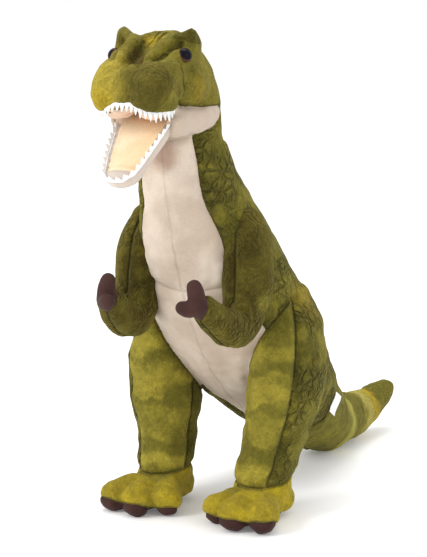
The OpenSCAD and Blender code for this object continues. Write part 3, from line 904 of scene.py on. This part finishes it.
TAIL_BANDS = bands_along("Y", MIDDLE, [
    (222, 15, (0.36, 0.33, 0.06), 0.8), (250, 9, OLIVE, 0.7), (285, 17, (0.40, 0.34, 0.07), 0.85),
    (306, 9, OCHRE, 0.9), (338, 22, OLIVE, 0.8)])
SNOUT_FADE = bands_along("X", 0, [(-30, 33, (0.36, 0.28, 0.036), 0.95)])
LEG_BANDS = bands_along("Z", 0, [
    (186, 8, OLIVE, 0.7), (160, 8, YELLOW_GREEN, 0.5), (143, 5, OLIVE, 0.6), (124, 8, YELLOW_GREEN, 0.45),
    (104, 5, OLIVE, 0.7), (82, 8, LEAF, 0.6), (62, 7, OLIVE, 0.8), (47, 8, YELLOW_GREEN, 0.8)])
BACK_SPOTS = (both(74, 14, 150, 24, LEAF) + both(68, 6, 196, 22, HIP_GOLD) + both(50, -10, 290, 18, LEAF)
              + both(72, 22, 228, 14, HIP_GOLD) + both(66, -20, 104, 18, DARK_OLIVE)
              + both(40, -60, 330, 14, DARK_OLIVE) + both(30, 60, 215, 22, LEAF))

CLOTH = {
    "back": pile_cloth("olive_pile", DARK_OLIVE, OLIVE, LEAF, BACK_SPOTS, 1.25, 105),
    "tail": pile_cloth("banded_pile", DARK_OLIVE, OLIVE, LEAF, scales=0.3, bands=TAIL_BANDS),
    "head": pile_cloth(
        "head_pile", OLIVE, (0.150, 0.120, 0.014), LEAF,
        # Painted shade: the small dark brown and dark olive spots sit in the hollows between the head's
        # ridges.
        [((0, -138, 449), 9, OCHRE), ((0, -164, 434), 11, HOLLOW_SHADE_BROWN), ((-20, -180, 426), 14, (0.34, 0.26, 0.035))]
        + both(11, -156, 438, 6, HOLLOW_SHADE_BROWN) + both(39, -134, 408, 11, (0.22, 0.16, 0.014))
        + both(20, -128, 449, 6, DARK_OLIVE), 0.2),
    "snout": pile_cloth("snout_pile", (0.080, 0.064, 0.009), (0.118, 0.092, 0.013), (0.165, 0.132, 0.018),
                        [((-22, -199, 396), 12, OCHRE)], 0.22, 150, bands=SNOUT_FADE),
    "horn": pile_cloth("horn_pile", DARK_OLIVE, (0.10, 0.085, 0.012), LEAF, [], 0.3),
    "leg_front": pile_cloth("light_pile", OLIVE, LEAF, YELLOW_GREEN, [], 0.15, bands=LEG_BANDS),
    "leg_inner": pile_cloth("shade_pile", DARK_OLIVE, OLIVE, OLIVE),
    "foot": pile_cloth("foot_pile", (0.235, 0.182, 0.016), (0.345, 0.262, 0.018), (0.430, 0.318, 0.016),
                       both(54, -38, 38, 15, OLIVE) + both(40, -66, 30, 8, LEAF), 0.1),
    "arm_outer": pile_cloth("arm_pile", (0.055, 0.042, 0.005), (0.085, 0.066, 0.008), (0.130, 0.104, 0.014),
                            both(74, -80, 214, 9, LEAF), 0.6, 130),
    # Painted shade: the inner arm panel, which faces the body, is the arm's pile painted darker.
    "arm_inner": pile_cloth("arm_dark_pile", (0.040, 0.028, 0.003), (0.060, 0.044, 0.005), OLIVE,
                            [], 0.5, 130),
    "belly": smooth_cloth("greige_velboa", GREIGE_LOW, GREIGE_HIGH, [((0, -132, 347), 14, SHADOW_ROSE)]),
    "throat": smooth_cloth("throat_velboa", GREIGE_LOW, (0.50, 0.41, 0.33),
                           [((0, -132, 352), 12, SHADOW_ROSE)]),
    "jaw": smooth_cloth("jaw_velboa", (0.55, 0.47, 0.40), (0.66, 0.58, 0.51)),
    "palate": smooth_cloth("palate_velboa", (0.72, 0.52, 0.38), (0.80, 0.63, 0.50)),
    "jaw_lining": smooth_cloth("peach_velboa", (0.84, 0.60, 0.36), (0.90, 0.72, 0.50),
                               [((0, -138, 381), 20, (0.80, 0.42, 0.18))]),
    "sole": smooth_cloth("brown_velboa", (0.034, 0.012, 0.010), (0.062, 0.026, 0.021),
                         dark=0.4, sheen=0.03),
}
CLOTH["leg_outer"] = CLOTH["nape"] = CLOTH["back"]
CLOTH["chest"] = CLOTH["collar"] = CLOTH["belly"]
CLOTH["hand"] = CLOTH["sole"]
for slot_name, cloths in (
        ("olive_pile", ("back", "nape", "tail", "head", "arm_outer")),
        ("light_pile", ("snout", "leg_front", "foot")),
        ("dark_pile", ("horn", "leg_outer", "leg_inner", "arm_inner")),
        ("greige_velboa", ("collar", "belly", "chest", "throat", "jaw")),
        ("mouth_lining", ("palate", "jaw_lining")),
        ("brown_pile", ("sole", "hand"))):
    dict.fromkeys(cloths, slot_name)
print(len(CLOTH), "cloths")

# %% [markdown]
# ## From faces to pieces
# Each panel becomes an object of its own. A panel of the torso rides on the torso's body;
# the panels of the head, tail and legs, whose cloth runs over a joint, are left in place and
# ride on no body.

# %% Pieces
def piece_from(bm, names, wanted, name, distance):
    """A new object with the faces whose name is wanted."""
    part = bm.copy()
    layer = part.verts.layers.float.new("seam")
    for v, away in zip(part.verts, distance):
        v[layer] = away
    others = [f for f, label in zip(part.faces, names) if label != wanted]
    bmesh.ops.delete(part, geom=others, context="FACES")
    for f in part.faces:
        f.smooth = True
    return object_from(part, name)


BENDS = {
    "head": ("torso", "head", NECK_PIVOT - NECK_WAY * NECK_REACH, NECK_PIVOT + NECK_WAY * 20),
    "tail": ("torso", "tail", TAIL_PIVOT - TAIL_WAY * TAIL_REACH, TAIL_PIVOT + TAIL_WAY * 26),
    "leg_left": ("torso", "leg_left", (54, -18, LEG_TOP), (54, -18, LEG_LOW)),
    "leg_right": ("torso", "leg_right", (-54, -18, LEG_TOP), (-54, -18, LEG_LOW)),
}
STANDS_FOR = {
    "back": ["trunk_skin"], "chest": ["chest_panel"], "belly": ["belly_panel"],
    "head": ["head_skin", "eye_washer"], "snout": ["snout_pad"], "horn": ["brow_horn"], "tail": ["tail_skin"],
    "thigh_front": ["thigh_front", "thigh_filling"], "thigh_outer": ["thigh_outer"],
    "thigh_inner": ["thigh_inner"], "leg_front": ["leg_front", "leg_filling"], "leg_outer": ["leg_outer"],
    "leg_inner": ["leg_inner"], "foot": ["foot"], "sole": ["sole"],
}
STANDS_ALONE = {
    "throat": ["throat_panel"], "palate": ["palate_lining"], "back_left": ["trunk_filling"],
    "head_left": ["head_filling", "neck_skin", "neck_filling"], "tail_left": ["tail_filling"],
}


def settle(obj, label):
    part, kind, side = label
    cloth = kind.replace("thigh_", "leg_")
    obj.data.materials.append(CLOTH[cloth])
    if part in BENDS:
        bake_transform(obj)
    else:
        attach(obj, part)
    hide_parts(*[node + "_" + side for node in STANDS_FOR.get(kind, [])])
    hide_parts(*STANDS_ALONE.get("_".join(filter(None, (kind, side))), []))


body.faces.index_update()
for label in sorted(set(labels)):
    title = "_".join(filter(None, label[1:]))
    made = piece_from(body, labels, label, title, body_seams)
    settle(made, label)
    print(title, len(made.data.polygons), "faces on", label[0])

# %% [markdown]
# ## Arms and hands
# Each arm is an L of two panels with one seam all round. The hand is a small dark mitten
# with two fingers. Both arms turn about one line through the shoulders.

# %% Arm pieces
ARM_VOXEL, HAND_VOXEL = 0.0018, 0.0013


def arm_forms():
    forms = [loft(ARM), ball((53, -65, 283), (15, 17, 14)), ball((57, -84, 204), (20, 20, 20))]
    forms += roll([(49, -138, 213), (48, -142, 216)], [12.5, 12])
    return forms


def hand_forms():
    palm = roll([(48.5, -141, 214), (47, -148, 218)], [10.5, 10.5])
    finger = roll([(47, -149, 221), (46, -150, 229), (44, -150, 236)], [9, 8.2, 7])
    thumb = roll([(46, -151, 217), (42, -157, 216), (38, -162, 218)], [8.6, 8, 6.6])
    return palm + finger + thumb


def field_arm(p):
    return near(fold_side(p), ARM_FINE)[4] + 1


def on_side(bm, side):
    """Each side is made as the left one, and the right one is then turned over."""
    if side == "right":
        bmesh.ops.transform(bm, matrix=Matrix.Scale(-1, 4, ACROSS), verts=bm.verts)
        bmesh.ops.reverse_faces(bm, faces=bm.faces)
    return bm


def arm_piece(side):
    bm = on_side(fuse("arm", arm_forms(), ARM_VOXEL, 4), side)
    cut(bm, field_arm)
    bm.faces.ensure_lookup_table()
    middles = to_toy(np.array([f.calc_center_median() for f in bm.faces]))
    names = [("arm_" + side, "arm_outer" if v > 0 else "arm_inner", side) for v in field_arm(middles)]
    distance = seam_distance(bm, names)
    relief(bm, distance, 1.2, 2.0)
    for label in sorted(set(names)):
        obj = piece_from(bm, names, label, label[1] + "_" + side, distance)
        obj.data.materials.append(CLOTH[label[1]])
        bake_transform(obj)
        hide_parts(label[1] + "_" + side)
        if label[1] == "arm_outer":
            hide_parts("arm_filling_" + side)
    bm.free()


def hand_piece(side):
    bm = on_side(fuse("hand", hand_forms(), HAND_VOXEL, 5), side)
    bm.faces.ensure_lookup_table()
    names = [("arm_" + side, "hand", side)] * len(bm.faces)
    distance = np.full(len(bm.verts), SEAM_REACH)
    relief(bm, distance, 0.5, 0.0)
    obj = piece_from(bm, names, names[0], "hand_skin_" + side, distance)
    obj.data.materials.append(CLOTH["hand"])
    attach(obj, "arm_" + side)
    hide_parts("hand_" + side)
    bm.free()


for side in ("left", "right"):
    arm_piece(side)
    hand_piece(side)

# %% [markdown]
# ## The jaw
# The lower jaw is a flat tongue-shaped bag: greige cloth outside, peach lining inside,
# dished a little so that its rim stands up. It hangs open from the throat.

# %% Jaw pieces
JAW_UP = Vector((0, -0.707, 0.707))
JAW_FINE = smooth_rows(JAW, ROW_STEPS)
JAW_DISH = 0.0042


def jaw_rim(p):
    """How far out from the jaw's middle a point lies, from 0 to 1 at the rim."""
    _, _, _, _, side, _ = near(p, JAW_FINE)
    return np.abs(side) / np.interp(-p[:, 1], -JAW_FINE[:, 1], JAW_FINE[:, 3])


def field_lining(p):
    """More than zero on the peach lining, inside the rim of the jaw."""
    centre_z = np.interp(-p[:, 1], -JAW_FINE[:, 1], JAW_FINE[:, 2])
    height = (p[:, 2] - centre_z) * 0.71
    inside = (0.86 - jaw_rim(p)) * 22
    tip = p[:, 1] + 200
    return np.minimum(np.minimum(inside, tip), height + 1)


def jaw_pieces():
    bm = fuse("jaw", [loft(JAW, powers=(2.2, 2.6)), ball((0, -199, 331), (13, 7, 7))], 0.0015, 5)
    points = to_toy(coordinates(bm))
    depth = np.clip(field_lining(points) / 5, 0, 1)
    for v, d in zip(bm.verts, depth):
        v.co -= JAW_UP * JAW_DISH * (d * d * (3 - 2 * d))
    cut(bm, field_lining)
    bm.faces.ensure_lookup_table()
    middles = to_toy(np.array([f.calc_center_median() for f in bm.faces]))
    ups = np.array([f.normal.dot(JAW_UP) for f in bm.faces])
    inside = (field_lining(middles) > 0) & (ups > 0.1)
    names = [("head", "jaw_lining" if flag else "jaw", "") for flag in inside]
    distance = seam_distance(bm, names)
    relief(bm, distance, 0.5, 0.6)
    for label in sorted(set(names)):
        obj = piece_from(bm, names, label, label[1] + "_cloth", distance)
        obj.data.materials.append(CLOTH[label[1]])
        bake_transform(obj)
        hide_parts("jaw_skin" if label[1] == "jaw" else "jaw_lining")
        if label[1] == "jaw":
            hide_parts("jaw_filling")
    bm.free()


jaw_pieces()

# %% [markdown]
# ## Teeth
# The teeth are strips of white felt, cut in a saw-tooth line and sewn into the lip seams.
# A strip starts as a row of points, is drawn out into teeth and gets the felt's thickness.

# %% Tooth strips
FELT = 0.0013


def tooth_strip(name, line, out, drop, count, length, root):
    """line: points in millimetres; drop: which way the teeth point; out: away from the mouth;
    length and root: how far a tooth reaches out of the seam, and the felt into it."""
    path = np.array(line, float)
    gone = np.concatenate([[0], np.cumsum(np.linalg.norm(np.diff(path, axis=0), axis=1))])
    stations = np.linspace(0, gone[-1], 2 * count + 1)
    spots = np.stack([np.interp(stations, gone, path[:, k]) for k in range(3)], 1)
    bm = bmesh.new()
    top = [bm.verts.new(at(*(p - np.array(drop) * root))) for p in spots]
    edges = [bm.edges.new(pair) for pair in zip(top, top[1:])]
    grown = bmesh.ops.extrude_edge_only(bm, edges=edges)["geom"]
    low = sorted((g for g in grown if isinstance(g, bmesh.types.BMVert)), key=lambda v: v.index)
    order = {tuple(np.round(v.co, 6)): i for i, v in enumerate(top)}
    for v in low:
        i = order[tuple(np.round(v.co, 6))]
        taper = min(1, 0.45 + min(i, len(top) - 1 - i) / 8)
        reach = length * taper * (0.85 + 0.3 * noise.random()) if i % 2 else 0.5
        lean = Vector(out(spots[i])) * (0.28 * reach if i % 2 else 0.2)
        v.co += (Vector(drop) * (root + reach) + lean) / 1000
    bmesh.ops.recalc_face_normals(bm, faces=bm.faces)
    bmesh.ops.solidify(bm, geom=list(bm.faces), thickness=FELT)
    bmesh.ops.recalc_face_normals(bm, faces=bm.faces)
    return object_from(bm, name)


def felt():
    r = Recipe("white_felt", 0.8, 0.3, 0.2)
    colour = r.blend(r.span(r.noise(300, 3), 0.3, 0.7), (0.72, 0.73, 0.74), (0.90, 0.90, 0.89))
    r.raise_by(r.noise(1400, 3), 1.0)
    return r.finish(colour, 0.5, 0.0006)


noise.seed_set(7)
FELT_CLOTH = felt()
LIP_SHAPE = BVHTree.FromBMesh(body)


def on_lip(x, y, z):
    """A slanted line from outside and below meets the snout pads at the lip seam."""
    out = Vector((x, y + 160, 0)).normalized()
    rise = Vector((0, 0, 1)) - out * 0.45
    hit = LIP_SHAPE.ray_cast(at(x, y, z) - rise * 0.022, rise)[0]
    return tuple(to_toy(np.array(hit)))


def both_halves(half):
    """A line along the lip, from one mouth corner round to the other."""
    return half + [(-x, y, z) for x, y, z in reversed(half)]


LIP_HEIGHT = 392
UPPER_HALF = [(x, y, LIP_HEIGHT) for x, y in (
    (33, -163), (33, -170), (31, -178), (28, -184), (23, -190), (16, -195), (9, -197), (3, -197))]
upper_line = [on_lip(*p) for p in both_halves(UPPER_HALF)]
upper = tooth_strip("upper_tooth_strip", upper_line, lambda p: (p[0] / 40, (p[1] + 160) / 40, 0),
                    (0, 0, -1), count=25, length=7.4, root=2.5)
upper.data.materials.append(FELT_CLOTH)
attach(upper, "head")
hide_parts("upper_teeth")

LOWER_HALF = [(25.6, -160, 378), (24, -171, 368), (21, -183, 356), (18, -194, 345), (14.5, -202, 337),
              (6, -207.5, 331)]
lower = tooth_strip("lower_tooth_strip", both_halves(LOWER_HALF), lambda p: (p[0] / 30, (p[1] + 185) / 60, 0),
                    tuple(JAW_UP), count=22, length=5.4, root=1.0)
lower.data.materials.append(FELT_CLOTH)
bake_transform(lower)
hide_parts("lower_teeth")

# %% [markdown]
# ## Eyes
# The eyes are the CAD's own domes: moulded safety eyes, pushed through the cloth and locked
# with a washer. They get a black plastic with a brown rim round the pupil.

# %% Eyes
EYE_SPOT, EYE_RADIUS = (35.6, -150, 436), 6.6
EYE_TILT, EYE_SWING = math.radians(62), math.radians(-32)


def eye_plastic(sign):
    r = Recipe("eye_plastic_" + ("left" if sign > 0 else "right"), 0.2, 0.0, 0.07)
    r.shader.inputs["Coat Weight"].default_value = 0.05
    r.shader.inputs["Coat Roughness"].default_value = 0.04
    way = Vector((math.sin(EYE_TILT) * math.cos(EYE_SWING),
                  math.sin(EYE_TILT) * math.sin(EYE_SWING), math.cos(EYE_TILT)))
    pupil = [EYE_SPOT[k] + way[k] * EYE_RADIUS for k in range(3)]
    gap = r.add("ShaderNodeVectorMath", operation="DISTANCE")
    r.feed(gap.inputs[0], r.place)
    r.feed(gap.inputs[1], tuple(at(pupil[0] * sign, pupil[1], pupil[2])))
    rim = r.span(gap.outputs["Value"], 0.0062, 0.0072)
    colour = r.blend(rim, (0.003, 0.003, 0.007), (0.085, 0.036, 0.018))
    grain = r.sum(r.noise(400, 2), 0.25, "MULTIPLY")
    colour = r.blend(grain, colour, (0.012, 0.010, 0.014))
    r.raise_by(r.noise(150, 1), 0.1)
    return r.finish(colour, 0.05, 0.0003)


for side, sign in (("left", 1), ("right", -1)):
    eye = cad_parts["eye_" + side]
    eye.data.materials.clear()
    eye.data.materials.append(eye_plastic(sign))

# %% [markdown]
# ## Ribbon
# A plain tab of white satin is sewn in by the tail. It is a grid, bent into a slight wave
# and given the cloth's thickness.

# %% Ribbon
RIBBON_WIDTH, RIBBON_LENGTH, RIBBON_THICK = 0.014, 0.022, 0.0006


def satin():
    r = Recipe("white_satin", 0.35, 0.2, 0.5)
    weave = r.add("ShaderNodeTexWave", Vector=r.place, Scale=900.0, Distortion=1.5).outputs["Fac"]
    colour = r.blend(weave, (0.80, 0.80, 0.80), (0.93, 0.93, 0.93))
    r.raise_by(weave, 1.0)
    return r.finish(colour, 0.2, 0.0003)


def ribbon():
    low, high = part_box("ribbon_label")
    bm = bmesh.new()
    middle = (low + high) / 2
    slope = Matrix.Rotation(math.radians(-32), 4, "X")
    tab = Matrix.Translation(middle) @ slope @ Matrix.Rotation(math.radians(90), 4, "Y")
    bmesh.ops.create_grid(bm, x_segments=8, y_segments=8, size=0.5,
                          matrix=tab @ Matrix.Diagonal((RIBBON_LENGTH, RIBBON_WIDTH, 1, 1)))
    for v in bm.verts:
        along = (v.co - middle).dot(slope.to_3x3() @ Vector((0, 0, 1)))
        v.co.x += 0.0012 * math.sin(along * 190)
    bmesh.ops.solidify(bm, geom=list(bm.faces), thickness=RIBBON_THICK)
    bmesh.ops.recalc_face_normals(bm, faces=bm.faces)
    obj = object_from(bm, "ribbon_tab")
    obj.data.materials.append(satin())
    return obj


tab = ribbon()
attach(tab, "torso")
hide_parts("ribbon_label")
